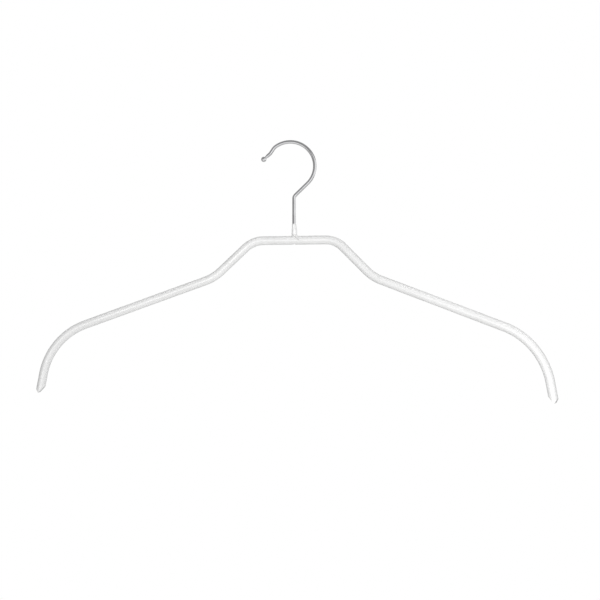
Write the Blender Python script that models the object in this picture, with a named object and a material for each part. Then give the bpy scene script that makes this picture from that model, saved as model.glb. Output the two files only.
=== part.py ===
"""Clothes hanger: a bent steel rod with a dipped soft coating, hung from a chromed wire hook that swivels.

The origin is the rail seat: where the hook's swivel axis meets the inside of the crown.
+X runs along the bridge, the shoulders sweep forward to -Y, and +Z points up.
Shapes are drawn in the bridge's own frame, whose origin is the rod's centre under the hook, and every
object sits at that point, which is on the swivel axis.
"""

import math

import bmesh
import bpy
from mathutils import Matrix, Vector

MM = 0.001

# Shoulder rod: the right half, as corners of a bent bar. Angles fall below the horizontal.
ROD_RADIUS = 2.5 * MM
BRIDGE_HALF = 34.5 * MM
NECK_LENGTH = 43.7 * MM
NECK_SLOPE = math.radians(43.2)
ARM_LENGTH = 143.8 * MM
ARM_SLOPE = math.radians(19.75)
END_LENGTH = 44.8 * MM
END_SLOPE = math.radians(79.0)
FORWARD_SWEEP = math.radians(10.8)
BRIDGE_BEND = 21.0 * MM
NECK_BEND = 37.0 * MM
SHOULDER_BEND = 54.0 * MM

# Both ends are cropped to a blunt wedge, with its ridge a little outside the rod's centre.
RIDGE_OFFSET = 0.8 * MM
INNER_CUT = math.radians(34.0)
OUTER_CUT = math.radians(42.0)
CROP_SPARE = 8.0 * MM

# Coating: a skin around the rod, and a thin neck that climbs the hook's stem.
FIT_GAP = 0.3 * MM
COATING_RADIUS = 3.5 * MM
NECK_TOP = 13.4 * MM
NECK_TOP_RADIUS = 1.75 * MM
NECK_RIM_ROUNDING = 0.2 * MM
NECK_BASE_RADIUS = 2.1 * MM
NECK_FLARE_RADIUS = 2.9 * MM
NECK_FLARE_HEIGHT = 1.2 * MM
NECK_ROOT_DEPTH = 4.0 * MM
NECK_BORE_RADIUS = 1.5 * MM
RIVET_OPENING_RADIUS = 1.6 * MM

# Hook: the wire's bends in order, from the stem up to the ball. Left turns are positive.
WIRE_RADIUS = 1.4 * MM
STEM_BOTTOM = 11.9 * MM
STEM_BEND_START = 33.5 * MM
STEM_BEND = 4.0 * MM
STEM_TURN = math.radians(-47.5)
SLANT_LENGTH = 13.4 * MM
SIDE_BEND = 18.7 * MM
SIDE_TURN = math.radians(77.5)
CROWN_BEND = 21.3 * MM
CROWN_TURN = math.radians(92.0)
LEAD_BEND = 9.0 * MM
LEAD_TURN = math.radians(23.0)
LEAD_LENGTH = 3.2 * MM
FLICK_BEND = 6.0 * MM
FLICK_TURN = math.radians(-16.0)
FLICK_LENGTH = 6.2 * MM
BALL_RADIUS = 2.1 * MM
WAIST_RADIUS = 1.0 * MM
WAIST_LENGTH = 3.0 * MM

# Swivel: the tail turns in the bush, and its peened head holds the rod through the washer.
TAIL_RADIUS = 1.0 * MM
RUNNING_CLEARANCE = 0.06 * MM
BUSH_RADIUS = 1.4 * MM
PRESS_GAP = 0.1 * MM
BUSH_TOP = STEM_BOTTOM - FIT_GAP
COUNTERBORE_RADIUS = 1.85 * MM
COUNTERBORE_FLOOR = -1.0 * MM
WASHER_RADIUS = 1.75 * MM
WASHER_BORE_RADIUS = 1.1 * MM
WASHER_THICKNESS = 0.4 * MM
HEAD_RADIUS = 1.45 * MM
HEAD_HEIGHT = 0.9 * MM
HEAD_DOME = ((0.0, 0.55), (0.35, 0.92), (0.65, 1.0), (1.0, 1.0))

# Facets.
ROD_SIDES = 16
COATING_SIDES = 24
HOOK_SIDES = 20
TURNED_SIDES = 24
BEND_STEP = math.radians(7.5)
BALL_RINGS = 8
WAIST_RINGS = 4
SMOOTH_ANGLE = math.radians(35.0)
WELD_DISTANCE = 0.005 * MM


def clear_scene():
    for old in list(bpy.data.objects):
        bpy.data.objects.remove(old, do_unlink=True)


def make_material(name, color, roughness, metallic):
    material = bpy.data.materials.new(name)
    material.use_nodes = True
    shader = material.node_tree.nodes["Principled BSDF"]
    shader.inputs["Base Color"].default_value = (*color, 1.0)
    shader.inputs["Roughness"].default_value = roughness
    shader.inputs["Metallic"].default_value = metallic
    return material


def make_object(name, bm, base, material=None):
    """Turn a bmesh into an object that stands on the bridge's centre."""
    bmesh.ops.recalc_face_normals(bm, faces=bm.faces)
    mesh = bpy.data.meshes.new(name)
    bm.to_mesh(mesh)
    bm.free()
    mesh.shade_smooth()
    mesh.set_sharp_from_angle(angle=SMOOTH_ANGLE)
    if material:
        mesh.materials.append(material)
    made = bpy.data.objects.new(name, mesh)
    made.location = base
    bpy.context.scene.collection.objects.link(made)
    return made


def make_cutter(name, bm, base):
    cutter = make_object(name, bm, base)
    cutter.hide_render = True
    cutter.display_type = "WIRE"
    return cutter


def add_boolean(target, operation, tool):
    modifier = target.modifiers.new(f"{operation.lower()}_{tool.name}", "BOOLEAN")
    modifier.operation = operation
    modifier.solver = "EXACT"
    modifier.object = tool


def add_mirror(target):
    modifier = target.modifiers.new("mirror", "MIRROR")
    modifier.use_axis = (True, False, False)
    modifier.use_clip = True
    modifier.merge_threshold = WELD_DISTANCE


# ---- paths ----

def arc_points(start, heading, towards, radius, turn):
    """Points after start on an arc that leaves along heading and curls towards the given side."""
    steps = max(2, math.ceil(turn / BEND_STEP))
    centre = start + towards * radius
    points = []
    for step in range(1, steps + 1):
        angle = turn * step / steps
        points.append(centre - towards * (radius * math.cos(angle)) + heading * (radius * math.sin(angle)))
    return points


def rounded_path(corners, radii):
    """A path through the corners, with each inner corner bent to its radius."""
    path = [corners[0]]
    for before, corner, after, radius in zip(corners, corners[1:], corners[2:], radii):
        heading = (corner - before).normalized()
        leaving = (after - corner).normalized()
        turn = heading.angle(leaving)
        towards = (leaving - heading * heading.dot(leaving)).normalized()
        start = corner - heading * (radius * math.tan(turn / 2))
        path.append(start)
        path.extend(arc_points(start, heading, towards, radius, turn))
    path.append(corners[-1])
    return path


def shoulder_point(along, height):
    """A point of the swept-forward shoulder plane, which turns about the bridge's end."""
    return Vector((
        BRIDGE_HALF + along * math.cos(FORWARD_SWEEP),
        -along * math.sin(FORWARD_SWEEP),
        height,
    ))


def shoulder_corners():
    """The right half's corners: bridge centre, bridge end, neck's foot, shoulder and tip."""
    corners = [Vector((0.0, 0.0, 0.0)), shoulder_point(0.0, 0.0)]
    along = 0.0
    height = 0.0
    for length, slope in ((NECK_LENGTH, NECK_SLOPE), (ARM_LENGTH, ARM_SLOPE), (END_LENGTH, END_SLOPE)):
        along += length * math.cos(slope)
        height -= length * math.sin(slope)
        corners.append(shoulder_point(along, height))
    return corners


def hook_path():
    """The wire's centre line in the XZ plane, from the stem's bottom to the ball's centre."""
    across = Vector((0.0, 1.0, 0.0))
    heading = Vector((0.0, 0.0, 1.0))
    path = [Vector((0.0, 0.0, STEM_BOTTOM)), Vector((0.0, 0.0, STEM_BEND_START))]
    moves = (
        (STEM_BEND, STEM_TURN, SLANT_LENGTH),
        (SIDE_BEND, SIDE_TURN, 0.0),
        (CROWN_BEND, CROWN_TURN, 0.0),
        (LEAD_BEND, LEAD_TURN, LEAD_LENGTH),
        (FLICK_BEND, FLICK_TURN, FLICK_LENGTH),
    )
    for radius, turn, straight in moves:
        left = heading.cross(across)
        path.extend(arc_points(path[-1], heading, left * math.copysign(1.0, turn), radius, abs(turn)))
        heading = (heading * math.cos(turn) + left * math.sin(turn)).normalized()
        if straight:
            path.append(path[-1] + heading * straight)
    return path


def rail_seat_height(path):
    """How far the inside of the crown is above the bridge's centre, on the swivel axis."""
    crossing = [
        (before, after)
        for before, after in zip(path, path[1:])
        if before.x > 0.0 >= after.x
    ]
    before, after = crossing[-1]
    blend = before.x / (before.x - after.x)
    slope = abs((after.z - before.z) / (after.x - before.x))
    return before.lerp(after, blend).z - WIRE_RADIUS * math.hypot(1.0, slope)


# ---- meshes ----

def ring_frames(path):
    """Where each ring stands: its centre and two axes across the path, carried along without twist."""
    headings = [(after - before).normalized() for before, after in zip(path, path[1:])]
    tangents = [headings[0]]
    tangents += [(before + after).normalized() for before, after in zip(headings, headings[1:])]
    tangents.append(headings[-1])
    side = tangents[0].cross(Vector((0.0, 1.0, 0.0))).normalized()
    frames = []
    previous = tangents[0]
    for point, tangent in zip(path, tangents):
        side = previous.rotation_difference(tangent) @ side
        side = (side - tangent * side.dot(tangent)).normalized()
        frames.append((point, side, tangent.cross(side)))
        previous = tangent
    return frames


def add_ring(bm, frame, radius, sides):
    centre, side, across = frame
    ring = []
    for index in range(sides):
        angle = 2 * math.pi * index / sides
        ring.append(bm.verts.new(centre + radius * (side * math.cos(angle) + across * math.sin(angle))))
    return ring


def bridge_rings(bm, rings):
    for lower, upper in zip(rings, rings[1:]):
        for index in range(len(lower)):
            following = (index + 1) % len(lower)
            bm.faces.new((lower[index], lower[following], upper[following], upper[index]))


def half_bar(radius, sides, skin):
    """The right half of the bent bar, open at the bridge's centre and cropped at the tip.

    skin is how far the crop stands outside the rod's own crop.
    """
    corners = shoulder_corners()
    heading = (corners[-1] - corners[-2]).normalized()
    tip = corners[-1].copy()
    corners[-1] = tip + heading * CROP_SPARE
    bm = bmesh.new()
    frames = ring_frames(rounded_path(corners, (BRIDGE_BEND, NECK_BEND, SHOULDER_BEND)))
    rings = [add_ring(bm, frame, radius, sides) for frame in frames]
    bridge_rings(bm, rings)
    bm.faces.new(rings[-1])
    outward = heading.cross(Vector((math.sin(FORWARD_SWEEP), math.cos(FORWARD_SWEEP), 0.0)))
    outward *= math.copysign(1.0, outward.x)
    ridge = tip + outward * RIDGE_OFFSET
    run_start = frames[-2][0] - heading * radius
    for angle, lean in ((INNER_CUT, -outward), (OUTER_CUT, outward)):
        normal = heading * math.sin(angle) + lean * math.cos(angle)
        crop_end(bm, run_start, heading, ridge + normal * skin, normal)
    return bm


def crop_end(bm, run_start, heading, point, normal):
    """Cut the straight run after the last bend at a plane and close it with one flat face."""
    verts = [vert for vert in bm.verts if (vert.co - run_start).dot(heading) > 0.0]
    inside = set(verts)
    links = [item for kind in (bm.edges, bm.faces) for item in kind if inside.issuperset(item.verts)]
    cut = bmesh.ops.bisect_plane(
        bm,
        geom=verts + links,
        plane_co=point,
        plane_no=normal,
        clear_outer=True,
    )
    edges = [item for item in cut["geom_cut"] if isinstance(item, bmesh.types.BMEdge)]
    bmesh.ops.holes_fill(bm, edges=edges)


def turned(profile):
    """A closed solid of revolution about Z, from (radius, height) points; zero radius closes on the axis."""
    bm = bmesh.new()
    verts = [bm.verts.new((radius, 0.0, height)) for radius, height in profile]
    edges = [bm.edges.new(pair) for pair in zip(verts, verts[1:])]
    bmesh.ops.spin(
        bm,
        geom=verts + edges,
        cent=(0.0, 0.0, 0.0),
        axis=(0.0, 0.0, 1.0),
        angle=2 * math.pi,
        steps=TURNED_SIDES,
        use_merge=False,
    )
    bmesh.ops.remove_doubles(bm, verts=bm.verts, dist=WELD_DISTANCE)
    return bm


def cylinder(radius, low, high):
    bm = bmesh.new()
    place = Matrix.Translation((0.0, 0.0, (low + high) / 2))
    bmesh.ops.create_cone(
        bm,
        cap_ends=True,
        segments=TURNED_SIDES,
        radius1=radius,
        radius2=radius,
        depth=high - low,
        matrix=place,
    )
    return bm


def tube(outer, bore, low, high):
    return turned(((outer, low), (outer, high), (bore, high), (bore, low), (outer, low)))


# ---- pieces ----

def make_shoulder_rod(base):
    steel = make_material("rod_steel", (0.55, 0.55, 0.56), 0.35, 1.0)
    rod = make_object("shoulder_rod", half_bar(ROD_RADIUS, ROD_SIDES, 0.0), base, steel)
    add_mirror(rod)
    reach = 2 * ROD_RADIUS
    hole = make_cutter("cross_hole_cutter", cylinder(BUSH_RADIUS + PRESS_GAP, -reach, reach), base)
    counterbore = make_cutter(
        "counterbore_cutter", cylinder(COUNTERBORE_RADIUS, -reach, COUNTERBORE_FLOOR), base)
    add_boolean(rod, "DIFFERENCE", hole)
    add_boolean(rod, "DIFFERENCE", counterbore)


def neck_boot():
    """The coated neck: a slim taper that flares into the bar's coating."""
    root = COATING_RADIUS - NECK_ROOT_DEPTH
    return turned((
        (0.0, NECK_TOP),
        (NECK_TOP_RADIUS - NECK_RIM_ROUNDING, NECK_TOP),
        (NECK_TOP_RADIUS, NECK_TOP - NECK_RIM_ROUNDING),
        (NECK_BASE_RADIUS, COATING_RADIUS + NECK_FLARE_HEIGHT),
        (NECK_FLARE_RADIUS, COATING_RADIUS - NECK_RIM_ROUNDING),
        (NECK_FLARE_RADIUS, root),
        (0.0, root),
    ))


def make_grip_coating(base):
    white = make_material("coating_white", (0.86, 0.86, 0.86), 0.45, 0.0)
    skin = COATING_RADIUS - ROD_RADIUS
    coating = make_object("grip_coating", half_bar(COATING_RADIUS, COATING_SIDES, skin), base, white)
    add_mirror(coating)
    boot = make_cutter("neck_boot_shape", neck_boot(), base)
    cavity = make_cutter("rod_cavity_cutter", half_bar(ROD_RADIUS + FIT_GAP, ROD_SIDES, FIT_GAP), base)
    add_mirror(cavity)
    bore = make_cutter("neck_bore_cutter", cylinder(NECK_BORE_RADIUS, 0.0, NECK_TOP + 2 * MM), base)
    opening = make_cutter(
        "rivet_opening_cutter", cylinder(RIVET_OPENING_RADIUS, -2 * COATING_RADIUS, 0.0), base)
    add_boolean(coating, "UNION", boot)
    for cutter in (cavity, bore, opening):
        add_boolean(coating, "DIFFERENCE", cutter)


def make_neck_bush(base):
    steel = make_material("bush_steel", (0.62, 0.62, 0.63), 0.30, 1.0)
    bottom = COUNTERBORE_FLOOR + FIT_GAP
    bush = tube(BUSH_RADIUS, TAIL_RADIUS + RUNNING_CLEARANCE, bottom, BUSH_TOP)
    make_object("neck_bush", bush, base, steel)


def make_rivet_washer(base):
    steel = make_material("washer_steel", (0.66, 0.66, 0.67), 0.30, 1.0)
    top = COUNTERBORE_FLOOR - FIT_GAP
    washer = tube(WASHER_RADIUS, WASHER_BORE_RADIUS, top - WASHER_THICKNESS, top)
    make_object("rivet_washer", washer, base, steel)


def tail_stations():
    """(height, radius) of the peened head and the turned-down tail, from the bottom up."""
    head_top = COUNTERBORE_FLOOR - 2 * FIT_GAP - WASHER_THICKNESS
    head_bottom = head_top - HEAD_HEIGHT
    dome = [(head_bottom + rise * HEAD_HEIGHT, width * HEAD_RADIUS) for rise, width in HEAD_DOME]
    return dome + [(head_top, TAIL_RADIUS), (STEM_BOTTOM, TAIL_RADIUS)]


def ball_stations():
    """(distance past the ball's centre, radius) from the end of the plain wire to the ball's last ring."""
    waist_angle = math.asin(WAIST_RADIUS / BALL_RADIUS)
    waist_at = -BALL_RADIUS * math.cos(waist_angle)
    stations = []
    for step in range(WAIST_RINGS):
        share = step / WAIST_RINGS
        narrowing = 0.5 - 0.5 * math.cos(math.pi * share)
        radius = WIRE_RADIUS + (WAIST_RADIUS - WIRE_RADIUS) * narrowing
        stations.append((waist_at - WAIST_LENGTH * (1 - share), radius))
    for step in range(BALL_RINGS):
        angle = waist_angle + (math.pi - waist_angle) * step / BALL_RINGS
        stations.append((-BALL_RADIUS * math.cos(angle), BALL_RADIUS * math.sin(angle)))
    return stations


def hook_mesh(path):
    bm = bmesh.new()
    frames = ring_frames(path)
    _, side, across = frames[0]
    rings = []
    for height, radius in tail_stations():
        rings.append(add_ring(bm, (Vector((0.0, 0.0, height)), side, across), radius, HOOK_SIDES))
    for frame in frames[:-1]:
        rings.append(add_ring(bm, frame, WIRE_RADIUS, HOOK_SIDES))
    centre, side, across = frames[-1]
    heading = side.cross(across)
    for distance, radius in ball_stations():
        rings.append(add_ring(bm, (centre + heading * distance, side, across), radius, HOOK_SIDES))
    bridge_rings(bm, rings)
    bm.faces.new(rings[0])
    pole = bm.verts.new(centre + heading * BALL_RADIUS)
    for index in range(HOOK_SIDES):
        bm.faces.new((rings[-1][index], rings[-1][(index + 1) % HOOK_SIDES], pole))
    return bm


def make_swivel_hook(base, path):
    chrome = make_material("hook_chrome", (0.80, 0.80, 0.81), 0.10, 1.0)
    make_object("swivel_hook", hook_mesh(path), base, chrome)


def main():
    clear_scene()
    wire = hook_path()
    base = Vector((0.0, 0.0, -rail_seat_height(wire)))
    make_shoulder_rod(base)
    make_grip_coating(base)
    make_neck_bush(base)
    make_rivet_washer(base)
    make_swivel_hook(base, wire)


main()
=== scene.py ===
"""Looks of the clothes hanger: a dipped white coating on a bent steel rod, and a chromed wire hook.

Everything is in metres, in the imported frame: the origin is the rail seat, +Z is up, and the shoulders
sweep forward to -Y. Shapes are drawn around the bridge's centre, on the hook's swivel axis.
"""

import math

import bmesh
import bpy
from mathutils import Matrix, Vector, noise


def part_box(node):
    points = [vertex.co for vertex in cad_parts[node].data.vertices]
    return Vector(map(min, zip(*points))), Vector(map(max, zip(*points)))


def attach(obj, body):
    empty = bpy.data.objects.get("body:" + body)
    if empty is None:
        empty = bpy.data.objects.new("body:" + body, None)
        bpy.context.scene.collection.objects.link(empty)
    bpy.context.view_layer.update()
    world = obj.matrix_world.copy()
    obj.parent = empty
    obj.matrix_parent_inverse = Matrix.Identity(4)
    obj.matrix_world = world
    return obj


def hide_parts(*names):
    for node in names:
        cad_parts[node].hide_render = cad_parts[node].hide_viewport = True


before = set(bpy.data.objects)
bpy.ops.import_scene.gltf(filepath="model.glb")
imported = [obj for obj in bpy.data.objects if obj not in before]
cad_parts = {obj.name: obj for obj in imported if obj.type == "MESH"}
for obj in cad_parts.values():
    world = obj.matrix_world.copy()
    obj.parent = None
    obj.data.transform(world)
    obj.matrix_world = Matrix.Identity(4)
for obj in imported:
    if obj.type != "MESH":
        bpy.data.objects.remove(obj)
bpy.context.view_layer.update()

MM = 0.001

# The bent bar, as in the part: its right half, with angles that fall below the horizontal.
ROD_RADIUS = 2.5 * MM
BRIDGE_HALF = 34.5 * MM
SHOULDER_RUNS = (
    (43.7 * MM, math.radians(43.2)),
    (143.8 * MM, math.radians(19.75)),
    (44.8 * MM, math.radians(79.0)),
)
BEND_RADII = (21.0 * MM, 37.0 * MM, 54.0 * MM)
FORWARD_SWEEP = math.radians(10.8)
RIDGE_OFFSET = 0.8 * MM
INNER_CUT = math.radians(34.0)
OUTER_CUT = math.radians(42.0)
CROP_SPARE = 8.0 * MM

# The coating.
FIT_GAP = 0.3 * MM
COATING_RADIUS = 3.5 * MM
NECK_BORE_RADIUS = 1.5 * MM
RIVET_OPENING_RADIUS = 1.6 * MM
MIDDLE_HALF = 12.0 * MM
CREASE_START = Vector((-1.2, 0.0, 4.6)) * MM
CREASE_END = Vector((4.4, 0.0, 0.4)) * MM
WELD_DISTANCE = 0.001 * MM

# The hook's wire: radius, turn (left is positive) and the straight run after each bend.
WIRE_RADIUS = 1.4 * MM
STEM_BEND_START = 33.5 * MM
WIRE_BENDS = (
    (4.0 * MM, math.radians(-47.5), 13.4 * MM),
    (18.7 * MM, math.radians(77.5), 0.0),
    (21.3 * MM, math.radians(92.0), 0.0),
    (9.0 * MM, math.radians(23.0), 3.2 * MM),
    (6.0 * MM, math.radians(-16.0), 6.2 * MM),
)
BALL_RADIUS = 2.1 * MM
WAIST_RADIUS = 1.0 * MM
WAIST_LENGTH = 3.0 * MM
TAIL_RADIUS = 1.0 * MM

# Places read from the frame.
BASE = Vector((0.0, 0.0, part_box("shoulder_rod")[1].z - ROD_RADIUS))
NECK_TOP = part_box("grip_coating")[1].z - BASE.z
BUSH_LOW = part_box("neck_bush")[0] - BASE
BUSH_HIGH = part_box("neck_bush")[1] - BASE
WASHER_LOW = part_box("rivet_washer")[0] - BASE
WASHER_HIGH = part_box("rivet_washer")[1] - BASE
HEAD_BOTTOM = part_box("swivel_hook")[0].z - BASE.z
STEM_BOTTOM = BUSH_HIGH.z + FIT_GAP
COUNTERBORE_FLOOR = WASHER_HIGH.z + FIT_GAP
COUNTERBORE_RADIUS = WASHER_HIGH.x + 0.1 * MM


# ---- paths ----

def arc_points(start, heading, towards, radius, turn, spacing):
    steps = max(4, math.ceil(turn * radius / spacing))
    centre = start + towards * radius
    points = []
    for step in range(1, steps + 1):
        angle = turn * step / steps
        points.append(centre - towards * (radius * math.cos(angle)) + heading * (radius * math.sin(angle)))
    return points


def run_points(start, end, spacing):
    steps = max(1, math.ceil((end - start).length / spacing))
    return [start.lerp(end, step / steps) for step in range(1, steps + 1)]


def rounded_path(corners, radii, spacing):
    """Evenly spaced points through the corners, with each inner corner bent to its radius."""
    path = [corners[0]]
    for before, corner, after, radius in zip(corners, corners[1:], corners[2:], radii):
        heading = (corner - before).normalized()
        leaving = (after - corner).normalized()
        turn = heading.angle(leaving)
        towards = (leaving - heading * heading.dot(leaving)).normalized()
        start = corner - heading * (radius * math.tan(turn / 2))
        path.extend(run_points(path[-1], start, spacing))
        path.extend(arc_points(start, heading, towards, radius, turn, spacing))
    path.extend(run_points(path[-1], corners[-1], spacing))
    return path


def shoulder_corners():
    """The right half's corners after the bridge's centre, down to the tip."""
    corners = [Vector((BRIDGE_HALF, 0.0, 0.0))]
    forward = Vector((math.cos(FORWARD_SWEEP), -math.sin(FORWARD_SWEEP), 0.0))
    for length, slope in SHOULDER_RUNS:
        drop = Vector((0.0, 0.0, -length * math.sin(slope)))
        corners.append(corners[-1] + forward * (length * math.cos(slope)) + drop)
    return corners


def hook_path(spacing):
    """The wire's centre line in the XZ plane, from the stem's bottom to the ball's centre."""
    across = Vector((0.0, 1.0, 0.0))
    heading = Vector((0.0, 0.0, 1.0))
    path = [Vector((0.0, 0.0, STEM_BOTTOM))]
    path.extend(run_points(path[0], Vector((0.0, 0.0, STEM_BEND_START)), spacing))
    for radius, turn, straight in WIRE_BENDS:
        left = heading.cross(across)
        towards = left * math.copysign(1.0, turn)
        path.extend(arc_points(path[-1], heading, towards, radius, abs(turn), spacing))
        heading = (heading * math.cos(turn) + left * math.sin(turn)).normalized()
        if straight:
            path.extend(run_points(path[-1], path[-1] + heading * straight, spacing))
    return path


# ---- meshes ----

def ring_frames(path):
    """Each ring's centre and its two axes across the path, carried along without twist."""
    headings = [(after - before).normalized() for before, after in zip(path, path[1:])]
    tangents = [headings[0]]
    tangents += [(before + after).normalized() for before, after in zip(headings, headings[1:])]
    tangents.append(headings[-1])
    side = tangents[0].cross(Vector((0.0, 1.0, 0.0))).normalized()
    frames = []
    previous = tangents[0]
    for point, tangent in zip(path, tangents):
        side = previous.rotation_difference(tangent) @ side
        side = (side - tangent * side.dot(tangent)).normalized()
        frames.append((point, side, tangent.cross(side)))
        previous = tangent
    return frames


def add_ring(bm, ring_frame, radius, sides):
    centre, side, across = ring_frame
    ring = []
    for index in range(sides):
        angle = 2 * math.pi * index / sides
        ring.append(bm.verts.new(centre + radius * (side * math.cos(angle) + across * math.sin(angle))))
    return ring


def bridge_rings(bm, rings):
    for lower, upper in zip(rings, rings[1:]):
        for index in range(len(lower)):
            following = (index + 1) % len(lower)
            bm.faces.new((lower[index], lower[following], upper[following], upper[index]))


def close_ring(bm, ring, point):
    """Close a ring with a fan of triangles to one point."""
    pole = bm.verts.new(point)
    for index in range(len(ring)):
        bm.faces.new((ring[index], ring[(index + 1) % len(ring)], pole))


def lathe(profile, sides):
    """A closed solid of revolution about Z from (radius, height) points, which start and end on the axis."""
    bm = bmesh.new()
    rings = []
    for radius, height in profile[1:-1]:
        ring_frame = (Vector((0.0, 0.0, height)), Vector((1.0, 0.0, 0.0)), Vector((0.0, 1.0, 0.0)))
        rings.append(add_ring(bm, ring_frame, radius, sides))
    bridge_rings(bm, rings)
    close_ring(bm, rings[0], Vector((0.0, 0.0, profile[0][1])))
    close_ring(bm, rings[-1], Vector((0.0, 0.0, profile[-1][1])))
    return bm


def cylinder(radius, low, high, sides):
    return lathe(((0.0, low), (radius, low), (radius, high), (0.0, high)), sides)


def washer_shape(outer, bore, low, high, chamfer, sides):
    """A turned ring with a chamfer on all four of its edges."""
    profile = (
        (bore + chamfer, low), (outer - chamfer, low), (outer, low + chamfer), (outer, high - chamfer),
        (outer - chamfer, high), (bore + chamfer, high), (bore, high - chamfer), (bore, low + chamfer),
    )
    bm = bmesh.new()
    rings = []
    for radius, height in profile:
        ring_frame = (Vector((0.0, 0.0, height)), Vector((1.0, 0.0, 0.0)), Vector((0.0, 1.0, 0.0)))
        rings.append(add_ring(bm, ring_frame, radius, sides))
    bridge_rings(bm, rings + rings[:1])
    return bm


def crop_tip(bm, tip, heading, outward, skin, rounding):
    """Cut a tip to its blunt wedge and round the wedge's edges."""
    ridge = tip + outward * RIDGE_OFFSET
    caps = []
    for angle, lean in ((INNER_CUT, -outward), (OUTER_CUT, outward)):
        normal = heading * math.sin(angle) + lean * math.cos(angle)
        verts = [vert for vert in bm.verts if (vert.co - tip).dot(heading) > -CROP_SPARE]
        inside = set(verts)
        links = [item for kind in (bm.edges, bm.faces) for item in kind if inside.issuperset(item.verts)]
        cut = bmesh.ops.bisect_plane(
            bm,
            geom=verts + links,
            plane_co=ridge + normal * skin,
            plane_no=normal,
            clear_outer=True,
        )
        edges = [item for item in cut["geom_cut"] if isinstance(item, bmesh.types.BMEdge)]
        caps.append(bmesh.ops.holes_fill(bm, edges=edges)["faces"][0])
    if rounding:
        bm.edges.index_update()
        rims = {edge for cap in caps if cap.is_valid for edge in cap.edges}
        rims = sorted(rims, key=lambda edge: edge.index)
        bmesh.ops.bevel(
            bm,
            geom=rims,
            offset=rounding,
            segments=5,
            profile=0.5,
            affect="EDGES",
            clamp_overlap=True,
        )


def half_bar(start, radius, sides, skin, spacing, rounding=0.0):
    """The right half of the bent bar from x = start, open there and cut to a wedge at its tip."""
    corners = [Vector((start, 0.0, 0.0))] + shoulder_corners()
    tip = corners[-1].copy()
    heading = (corners[-1] - corners[-2]).normalized()
    outward = heading.cross(Vector((math.sin(FORWARD_SWEEP), math.cos(FORWARD_SWEEP), 0.0)))
    outward *= math.copysign(1.0, outward.x)
    corners[-1] = tip + heading * CROP_SPARE
    path = rounded_path(corners, BEND_RADII, spacing)
    bm = bmesh.new()
    rings = [add_ring(bm, ring_frame, radius, sides) for ring_frame in ring_frames(path)]
    bridge_rings(bm, rings)
    bm.faces.new(rings[-1])
    crop_tip(bm, tip, heading, outward, skin, rounding)
    return bm


def add_left_half(bm):
    geometry = list(bm.verts) + list(bm.edges) + list(bm.faces)
    bmesh.ops.mirror(bm, geom=geometry, axis="X", merge_dist=WELD_DISTANCE)
    return bm


def straight_bar(radius, half_length, sides, spacing):
    """The bar's level middle as a closed cylinder along X, in step with the half bars' rings."""
    start = Vector((-half_length, 0.0, 0.0))
    path = [start] + run_points(start, Vector((half_length, 0.0, 0.0)), spacing)
    bm = bmesh.new()
    rings = [add_ring(bm, ring_frame, radius, sides) for ring_frame in ring_frames(path)]
    bridge_rings(bm, rings)
    bm.faces.new(rings[0])
    bm.faces.new(rings[-1])
    return bm


def make_object(name, bm):
    bmesh.ops.recalc_face_normals(bm, faces=bm.faces)
    mesh = bpy.data.meshes.new(name)
    bm.to_mesh(mesh)
    bm.free()
    made = bpy.data.objects.new(name, mesh)
    bpy.context.scene.collection.objects.link(made)
    return made


def combine(target, operation, bm):
    """Join a shape to a piece, or cut it out, for good."""
    tool = make_object("tool", bm)
    modifier = target.modifiers.new("combine", "BOOLEAN")
    modifier.operation = operation
    modifier.solver = "EXACT"
    modifier.object = tool
    bpy.context.view_layer.update()
    evaluated = target.evaluated_get(bpy.context.evaluated_depsgraph_get())
    merged = bpy.data.meshes.new_from_object(evaluated)
    target.modifiers.clear()
    target.data = merged
    bpy.data.objects.remove(tool, do_unlink=True)


def finish_piece(piece, body, nodes, material, crease):
    """Shade a piece smooth up to a crease angle, stand it on the bridge's centre and hand it to the frame."""
    piece.data.name = piece.name
    piece.data.transform(Matrix.Translation(BASE))
    piece.data.shade_smooth()
    piece.data.set_sharp_from_angle(angle=math.radians(crease))
    piece.data.materials.clear()
    piece.data.materials.append(material)
    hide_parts(*nodes)
    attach(piece, body)
    return piece


# ---- material nodes ----

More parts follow.
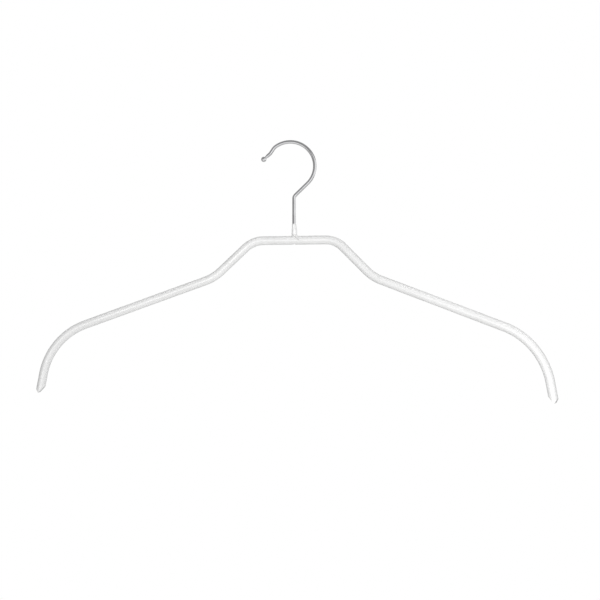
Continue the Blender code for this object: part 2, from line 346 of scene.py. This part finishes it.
class Nodes:
    """A small helper that adds and links shader nodes."""

    def __init__(self, material):
        material.use_nodes = True
        self.tree = material.node_tree
        self.shader = self.tree.nodes["Principled BSDF"]

    def add(self, kind, **settings):
        node = self.tree.nodes.new(kind)
        for name, value in settings.items():
            setattr(node, name, value)
        return node

    def link(self, source, target):
        self.tree.links.new(source, target)

    def place(self):
        return self.add("ShaderNodeTexCoord").outputs["Object"]

    def scaled(self, vector, scale):
        mapping = self.add("ShaderNodeMapping")
        mapping.inputs["Scale"].default_value = scale
        self.link(vector, mapping.inputs["Vector"])
        return mapping.outputs["Vector"]

    def noise(self, vector, scale, detail=2.0, roughness=0.5):
        node = self.add("ShaderNodeTexNoise")
        node.inputs["Scale"].default_value = scale
        node.inputs["Detail"].default_value = detail
        node.inputs["Roughness"].default_value = roughness
        self.link(vector, node.inputs["Vector"])
        return node.outputs["Fac"]

    def spread(self, value, low, high, to_low, to_high):
        """Map a value from one range to another, clamped."""
        node = self.add("ShaderNodeMapRange")
        for socket, number in zip(("From Min", "From Max", "To Min", "To Max"), (low, high, to_low, to_high)):
            node.inputs[socket].default_value = number
        self.link(value, node.inputs["Value"])
        return node.outputs["Result"]

    def math(self, operation, first, second):
        node = self.add("ShaderNodeMath", operation=operation)
        for socket, item in zip(node.inputs, (first, second)):
            if isinstance(item, (int, float)):
                socket.default_value = item
            else:
                self.link(item, socket)
        return node.outputs["Value"]

    def mix(self, amount, first, second):
        node = self.add("ShaderNodeMix", data_type="RGBA")
        self.link(amount, node.inputs["Factor"])
        for socket, item in ((node.inputs[6], first), (node.inputs[7], second)):
            if isinstance(item, tuple):
                socket.default_value = (*item, 1.0)
            else:
                self.link(item, socket)
        return node.outputs[2]

    def bump(self, height, distance, strength=1.0, after=None):
        node = self.add("ShaderNodeBump")
        node.inputs["Strength"].default_value = strength
        node.inputs["Distance"].default_value = distance
        self.link(height, node.inputs["Height"])
        if after is not None:
            self.link(after, node.inputs["Normal"])
        return node.outputs["Normal"]

    def wire(self, socket, source):
        self.link(source, self.shader.inputs[socket])

    def set(self, socket, value):
        self.shader.inputs[socket].default_value = value


def coating_material():
    """Soft white dipped vinyl: a satin skin with faint flow waves, fine grain, dust in its pores and painted
    shade along the crease below the neck.
    """
    material = bpy.data.materials.new("dipped_coating")
    nodes = Nodes(material)
    place = nodes.place()
    flow = nodes.noise(place, 90.0, 3.0)
    clouds = nodes.noise(place, 25.0, 2.0)
    grain = nodes.noise(place, 2600.0, 4.0, 0.6)
    pores = nodes.noise(place, 1400.0, 1.0)
    cloudy = nodes.spread(clouds, 0.35, 0.65, 0.0, 1.0)
    tint = nodes.mix(cloudy, (0.865, 0.865, 0.862), (0.905, 0.905, 0.905))
    specks = nodes.spread(pores, 0.74, 0.80, 0.0, 0.35)
    speckled = nodes.mix(specks, tint, (0.70, 0.70, 0.69))
    # Painted shade: the base colour darkens towards grey along the crease mask below the neck.
    crease = nodes.add("ShaderNodeAttribute", attribute_name="crease").outputs["Fac"]
    shaded = nodes.math("MULTIPLY", crease, 0.4)
    nodes.wire("Base Color", nodes.mix(shaded, speckled, (0.42, 0.42, 0.41)))
    nodes.wire("Roughness", nodes.spread(flow, 0.3, 0.7, 0.30, 0.40))
    waves = nodes.bump(flow, 0.10 * MM, 0.35)
    nodes.wire("Normal", nodes.bump(grain, 0.001 * MM, 0.8, after=waves))
    nodes.set("Subsurface Weight", 0.12)
    nodes.set("Subsurface Radius", (1.0, 1.0, 1.0))
    nodes.set("Subsurface Scale", 0.8 * MM)
    nodes.set("IOR", 1.5)
    return material


def chrome_material():
    """Chrome on drawn wire, with a slight orange peel, hair-fine scratches and soft smudges."""
    material = bpy.data.materials.new("hook_chrome")
    nodes = Nodes(material)
    place = nodes.place()
    smudge = nodes.noise(place, 160.0, 3.0)
    orange_peel = nodes.noise(place, 700.0, 2.0)
    scratches = nodes.noise(nodes.scaled(place, (1.0, 14.0, 1.0)), 1500.0, 2.0, 0.7)
    dull = nodes.spread(smudge, 0.3, 0.7, 0.0, 1.0)
    nodes.wire("Base Color", nodes.mix(dull, (0.60, 0.60, 0.61), (0.70, 0.70, 0.71)))
    fine = nodes.spread(scratches, 0.55, 0.75, 0.0, 0.06)
    nodes.wire("Roughness", nodes.math("ADD", nodes.spread(smudge, 0.3, 0.75, 0.05, 0.12), fine))
    peel = nodes.bump(orange_peel, 0.02 * MM, 0.25)
    nodes.wire("Normal", nodes.bump(scratches, 0.0004 * MM, 0.5, after=peel))
    nodes.set("Metallic", 1.0)
    return material


def steel_material(name, color, dark, line_axis):
    """Drawn or turned steel with fine lines and faint oil stains."""
    material = bpy.data.materials.new(name)
    nodes = Nodes(material)
    place = nodes.place()
    lines = nodes.noise(nodes.scaled(place, line_axis), 900.0, 3.0, 0.6)
    stains = nodes.noise(place, 220.0, 3.0)
    nodes.wire("Base Color", nodes.mix(nodes.spread(stains, 0.35, 0.7, 0.0, 1.0), color, dark))
    nodes.wire("Roughness", nodes.spread(lines, 0.3, 0.7, 0.26, 0.44))
    nodes.wire("Normal", nodes.bump(lines, 0.01 * MM, 0.6))
    nodes.set("Metallic", 1.0)
    return material


# ---- the coating ----

def neck_outline(turn):
    """The coated neck's outside at one angle around the stem, from its rim down into the bar."""
    rightward = (0.5 + 0.5 * math.cos(turn)) ** 2
    fillet = 0.5 * MM + 0.9 * MM * rightward
    rim = NECK_TOP - 0.16 * MM + 0.15 * MM * math.sin(turn + 0.8)
    base = 1.85 * MM + 0.55 * MM * rightward
    top = 1.66 * MM
    points = [
        (1.0 * MM, rim - 0.05 * MM),
        (1.56 * MM, rim - 0.03 * MM),
        (1.60 * MM, rim),
        (1.64 * MM, rim - 0.05 * MM),
    ]
    start = bar_height(base, turn) + fillet
    steps = 26
    for step in range(steps + 1):
        share = step / steps
        height = rim - 0.16 * MM + (start - rim + 0.16 * MM) * share
        swell = 0.5 - 0.5 * math.cos(math.pi * min(1.0, share * 1.5))
        points.append((top + (base - top) * swell, height))
    for step in range(1, 13):
        angle = math.radians(90.0) * step / 12
        reach = base + fillet * (1 - math.cos(angle))
        above = fillet * (1 - math.sin(angle)) - 0.02 * MM * step / 12
        points.append((reach, bar_height(reach, turn) + above))
    reach = base + fillet
    points.append((reach - 0.1 * MM, bar_height(reach, turn) - 0.5 * MM))
    return points


def bar_height(reach, turn):
    """How high the bar's coating is above its centre at a place around the stem."""
    y = reach * math.sin(turn)
    return math.sqrt(max(COATING_RADIUS ** 2 - y ** 2, 0.0))


def crease_depth(turn, height):
    """A slanting crease around the neck's foot, where the dip pooled against the bar."""
    middle = 5.3 * MM - 1.1 * MM * math.cos(turn)
    return 0.30 * MM * math.exp(-((height - middle) / (0.45 * MM)) ** 2)


def neck_shape(sides):
    bm = bmesh.new()
    columns = []
    for index in range(sides):
        turn = 2 * math.pi * index / sides
        column = []
        for reach, height in neck_outline(turn):
            reach -= crease_depth(turn, height)
            column.append(bm.verts.new((reach * math.cos(turn), reach * math.sin(turn), height)))
        columns.append(column)
    rings = [list(ring) for ring in zip(*columns)]
    bridge_rings(bm, rings)
    close_ring(bm, rings[0], Vector((0.0, 0.0, NECK_TOP - 0.2 * MM)))
    close_ring(bm, rings[-1], Vector((0.0, 0.0, 0.0)))
    return bm


def soften(piece, near, rounds):
    """Melt the shape where a test says so, by evening out its vertices."""
    bm = bmesh.new()
    bm.from_mesh(piece.data)
    chosen = [vert for vert in bm.verts if near(vert.co)]
    for _ in range(rounds):
        bmesh.ops.smooth_vert(bm, verts=chosen, factor=0.5, use_axis_x=True, use_axis_y=True, use_axis_z=True)
    bm.to_mesh(piece.data)
    bm.free()


def around_neck_foot(place):
    reach = math.hypot(place.x, place.y)
    return 2.6 * MM < reach < 4.8 * MM and place.z > 0.0


def weld_to_arms(piece, arms):
    """Open the middle's two ends and join the arms' skins to them."""
    bm = bmesh.new()
    bm.from_mesh(piece.data)
    edge_of_middle = MIDDLE_HALF - WELD_DISTANCE
    ends = [face for face in bm.faces if all(abs(vert.co.x) > edge_of_middle for vert in face.verts)]
    bmesh.ops.delete(bm, geom=ends, context="FACES")
    for arm in arms:
        loose = bpy.data.meshes.new("arm")
        arm.to_mesh(loose)
        arm.free()
        bm.from_mesh(loose)
        bpy.data.meshes.remove(loose)
    bmesh.ops.remove_doubles(bm, verts=bm.verts, dist=WELD_DISTANCE)
    bmesh.ops.recalc_face_normals(bm, faces=bm.faces)
    bm.to_mesh(piece.data)
    bm.free()


def crease_side(place):
    """The distance from the slanting crease on the bar's front, positive above it."""
    along = CREASE_END - CREASE_START
    offset = Vector((place.x, 0.0, place.z)) - CREASE_START
    share = min(1.0, max(0.0, offset.dot(along) / along.length_squared))
    across = offset - along * share
    return math.copysign(across.length, across.x + across.z)


def wave(piece):
    """The dip's own unevenness, and the bead and crease on the bar's front below the neck."""
    # The crease mask is kept as the 'crease' attribute, and the coating's colour darkens along it as painted
    # shade.
    creases = piece.data.attributes.new("crease", "FLOAT", "POINT")
    normals = [vert.normal.copy() for vert in piece.data.vertices]
    for vert, normal, crease in zip(piece.data.vertices, normals, creases.data):
        low = noise.noise(vert.co * 60.0 + Vector((3.1, 7.7, 1.9)))
        fine = noise.noise(vert.co * 210.0)
        swell = 0.05 * MM * low + 0.015 * MM * fine
        outside = math.hypot(vert.co.y, vert.co.z) > COATING_RADIUS - 0.2 * MM
        if outside and vert.co.y < 0.0 and abs(vert.co.x) < 2 * CREASE_END.x:
            side = crease_side(vert.co)
            crease.value = math.exp(-(side / (0.42 * MM)) ** 2)
            bead = math.exp(-((side - 0.9 * MM) / (0.8 * MM)) ** 2)
            swell += 0.25 * MM * bead - 0.30 * MM * crease.value
        vert.co += normal * swell


def make_coating():
    spacing = 0.8 * MM
    inner = ROD_RADIUS + FIT_GAP
    skin = COATING_RADIUS - ROD_RADIUS
    coating = make_object("coating_skin", straight_bar(COATING_RADIUS, MIDDLE_HALF, 72, 0.4 * MM))
    combine(coating, "UNION", neck_shape(96))
    soften(coating, around_neck_foot, 12)
    combine(coating, "DIFFERENCE", straight_bar(inner, 2 * MIDDLE_HALF, 48, 2 * MM))
    combine(coating, "DIFFERENCE", cylinder(NECK_BORE_RADIUS, 0.0, NECK_TOP + MM, 64))
    combine(coating, "DIFFERENCE", cylinder(RIVET_OPENING_RADIUS, -2 * COATING_RADIUS, 0.0, 64))
    outside = add_left_half(half_bar(MIDDLE_HALF, COATING_RADIUS, 72, skin, spacing, 0.55 * MM))
    inside = add_left_half(half_bar(MIDDLE_HALF, inner, 48, FIT_GAP, 2.0 * MM))
    weld_to_arms(coating, (outside, inside))
    wave(coating)
    return finish_piece(coating, "shoulders", ["grip_coating"], coating_material(), 40)


# ---- the steel ----

def make_rod():
    rod = make_object("rod_core", add_left_half(half_bar(0.0, ROD_RADIUS, 48, 0.0, 2.0 * MM, 0.1 * MM)))
    combine(rod, "DIFFERENCE", cylinder(BUSH_HIGH.x + 0.1 * MM, -2 * ROD_RADIUS, 2 * ROD_RADIUS, 64))
    combine(rod, "DIFFERENCE", cylinder(COUNTERBORE_RADIUS, -2 * ROD_RADIUS, COUNTERBORE_FLOOR, 64))
    steel = steel_material("rod_steel", (0.56, 0.56, 0.57), (0.47, 0.46, 0.45), (1.0, 6.0, 6.0))
    return finish_piece(rod, "shoulders", ["shoulder_rod"], steel, 30)


def make_bush():
    bore = TAIL_RADIUS + 0.06 * MM
    bush = make_object("bush_tube", washer_shape(BUSH_HIGH.x, bore, BUSH_LOW.z, BUSH_HIGH.z, 0.08 * MM, 64))
    steel = steel_material("bush_steel", (0.62, 0.62, 0.63), (0.54, 0.53, 0.52), (1.0, 1.0, 8.0))
    return finish_piece(bush, "shoulders", ["neck_bush"], steel, 30)


def make_washer():
    bore = TAIL_RADIUS + 0.1 * MM
    shape = washer_shape(WASHER_HIGH.x, bore, WASHER_LOW.z, WASHER_HIGH.z, 0.06 * MM, 64)
    washer = make_object("washer_ring", shape)
    steel = steel_material("washer_steel", (0.66, 0.66, 0.67), (0.58, 0.57, 0.56), (4.0, 1.0, 1.0))
    return finish_piece(washer, "shoulders", ["rivet_washer"], steel, 30)


# ---- the hook ----

def tail_profile():
    """(height, radius) of the peened head, the turned-down tail and the stem's step, from the bottom up."""
    head_top = WASHER_LOW.z - FIT_GAP
    head_radius = 1.45 * MM
    height = head_top - HEAD_BOTTOM
    points = []
    for step in range(9):
        angle = math.radians(90.0) * (step + 1) / 9
        points.append((HEAD_BOTTOM + 0.75 * height * (1 - math.cos(angle)), head_radius * math.sin(angle)))
    points += [(head_top - 0.05 * MM, head_radius), (head_top, head_radius - 0.05 * MM)]
    points += [(head_top, TAIL_RADIUS), (STEM_BOTTOM, TAIL_RADIUS), (STEM_BOTTOM, WIRE_RADIUS - 0.1 * MM)]
    return points


def ball_profile():
    """(distance past the ball's centre, radius), from the end of the plain wire to the ball."""
    angle_at_waist = math.asin(WAIST_RADIUS / BALL_RADIUS)
    waist_at = -BALL_RADIUS * math.cos(angle_at_waist)
    points = []
    for step in range(1, 14):
        share = step / 14
        narrowing = 0.5 - 0.5 * math.cos(math.pi * share)
        radius = WIRE_RADIUS + (WAIST_RADIUS - WIRE_RADIUS) * narrowing
        points.append((waist_at - WAIST_LENGTH * (1 - share), radius))
    rings = 28
    for step in range(rings):
        angle = angle_at_waist + (math.pi - angle_at_waist) * step / rings
        points.append((-BALL_RADIUS * math.cos(angle), BALL_RADIUS * math.sin(angle)))
    return points


def make_hook():
    sides = 48
    path = hook_path((0.6) * MM)
    frames = ring_frames(path)
    _, side, across = frames[0]
    bm = bmesh.new()
    rings = []
    for height, radius in tail_profile():
        rings.append(add_ring(bm, (Vector((0.0, 0.0, height)), side, across), radius, sides))
    centre, last_side, last_across = frames[-1]
    heading = last_side.cross(last_across)
    shaped = BALL_RADIUS + WAIST_LENGTH
    rings.append(add_ring(bm, (Vector((0.0, 0.0, STEM_BOTTOM + 0.1 * MM)), side, across), WIRE_RADIUS, sides))
    for ring_frame in frames[1:]:
        if (ring_frame[0] - centre).length > shaped:
            rings.append(add_ring(bm, ring_frame, WIRE_RADIUS, sides))
    for distance, radius in ball_profile():
        rings.append(add_ring(bm, (centre + heading * distance, last_side, last_across), radius, sides))
    bridge_rings(bm, rings)
    close_ring(bm, rings[0], Vector((0.0, 0.0, HEAD_BOTTOM)))
    close_ring(bm, rings[-1], centre + heading * BALL_RADIUS)
    hook = make_object("hook_wire", bm)
    return finish_piece(hook, "hook", ["swivel_hook"], chrome_material(), 35)


# ---- camera, light and floor ----

CAMERA_DISTANCE = 1.0
CAMERA_YAW = math.radians(14.94)
CAMERA_LENS = 74.6
CAMERA_ASIDE = 4.8 * MM
CAMERA_BELOW_BRIDGE = 48.0 * MM
FLOOR_BELOW = 1.2
LIGHT_AIM = Vector((0.0, 0.0, -0.12))
STUDIO_GREY = 0.38


def make_camera():
    data = bpy.data.cameras.new("camera")
    data.sensor_width = 36.0
    data.lens = CAMERA_LENS
    camera = bpy.data.objects.new("camera", data)
    back = Vector((math.sin(CAMERA_YAW), -math.cos(CAMERA_YAW), 0.0))
    right = Vector((math.cos(CAMERA_YAW), math.sin(CAMERA_YAW), 0.0))
    camera.location = BASE + back * CAMERA_DISTANCE + right * CAMERA_ASIDE
    camera.location.z -= CAMERA_BELOW_BRIDGE
    camera.rotation_euler = (math.radians(90.0), 0.0, CAMERA_YAW)
    bpy.context.scene.collection.objects.link(camera)
    bpy.context.scene.camera = camera


def make_softbox(name, place, size, radiance, seen=("diffuse", "glossy")):
    """A soft rectangular light aimed at the hanger's middle, with its brightness given as radiance."""
    data = bpy.data.lights.new(name, "AREA")
    data.shape = "RECTANGLE"
    data.size, data.size_y = size
    data.energy = radiance * math.pi * size[0] * size[1]
    light = bpy.data.objects.new(name, data)
    light.location = place
    light.rotation_euler = (LIGHT_AIM - Vector(place)).to_track_quat("-Z", "Y").to_euler()
    light.visible_camera = False
    light.visible_diffuse = "diffuse" in seen
    light.visible_glossy = "glossy" in seen
    bpy.context.scene.collection.objects.link(light)
    return light


def light_only(lights, group_name, piece_name):
    """Let these lights reach one piece alone."""
    group = bpy.data.collections.new(group_name)
    group.objects.link(bpy.data.objects[piece_name])
    for light in lights:
        light.light_linking.receiver_collection = group


def make_light():
    """Soft frontal light, with panels of its own for the chrome, the coating's sheen and the floor."""
    make_softbox("front", (0.26, -0.62, -0.05), (0.5, 0.5), 3.9, ("diffuse",))
    make_softbox("top", (0.0, -0.2, 1.5), (2.0, 1.4), 0.3, ("diffuse",))
    make_softbox("back", (-0.3, 1.20, 0.1), (1.0, 1.0), 1.2, ("diffuse",))
    sheen = make_softbox("sheen", (0.30, -1.20, -0.12), (1.9, 0.35), 8.5, ("glossy",))
    light_only([sheen], "coated", "coating_skin")
    wash = make_softbox("wash", (0.0, -0.3, 1.6), (3.0, 3.0), 0.7, ("diffuse",))
    light_only([wash], "staged", "floor")
    mirrored = [
        make_softbox("reflector", (1.28, -0.96, -0.1), (2.1, 2.6), 0.66, ("glossy",)),
        make_softbox("side", (1.50, 0.55, 0.0), (2.0, 1.3), 0.66, ("glossy",)),
        make_softbox("lower", (-0.25, -1.15, -0.60), (2.0, 1.1), 0.68, ("glossy",)),
        make_softbox("ground", (0.1, -0.1, -1.15), (2.4, 2.0), 0.12, ("glossy",)),
    ]
    light_only(mirrored, "plated", "hook_wire")


def make_world():
    """White to the camera, and a plain grey studio to everything that the light meets."""
    world = bpy.data.worlds.new("studio")
    world.use_nodes = True
    tree = world.node_tree
    studio = tree.nodes["Background"]
    studio.inputs["Color"].default_value = (STUDIO_GREY, STUDIO_GREY, STUDIO_GREY, 1.0)
    white = tree.nodes.new("ShaderNodeBackground")
    white.inputs["Color"].default_value = (1.0, 1.0, 1.0, 1.0)
    mix = tree.nodes.new("ShaderNodeMixShader")
    path = tree.nodes.new("ShaderNodeLightPath")
    tree.links.new(path.outputs["Is Camera Ray"], mix.inputs["Fac"])
    tree.links.new(studio.outputs["Background"], mix.inputs[1])
    tree.links.new(white.outputs["Background"], mix.inputs[2])
    tree.links.new(mix.outputs["Shader"], tree.nodes["World Output"].inputs["Surface"])
    bpy.context.scene.world = world
    bpy.context.scene.view_settings.view_transform = "Standard"


def make_floor():
    bm = bmesh.new()
    bmesh.ops.create_grid(bm, x_segments=1, y_segments=1, size=3.0)
    floor = make_object("floor", bm)
    floor.location = (0.0, 0.0, -FLOOR_BELOW)
    material = bpy.data.materials.new("floor_paint")
    nodes = Nodes(material)
    tone = nodes.noise(nodes.place(), 6.0, 3.0)
    patchy = nodes.spread(tone, 0.3, 0.7, 0.0, 1.0)
    nodes.wire("Base Color", nodes.mix(patchy, (0.90, 0.90, 0.89), (0.93, 0.93, 0.93)))
    nodes.set("Roughness", 0.8)
    floor.data.materials.append(material)


make_camera()
make_coating()
make_rod()
make_bush()
make_washer()
make_hook()
make_floor()
make_light()
make_world()
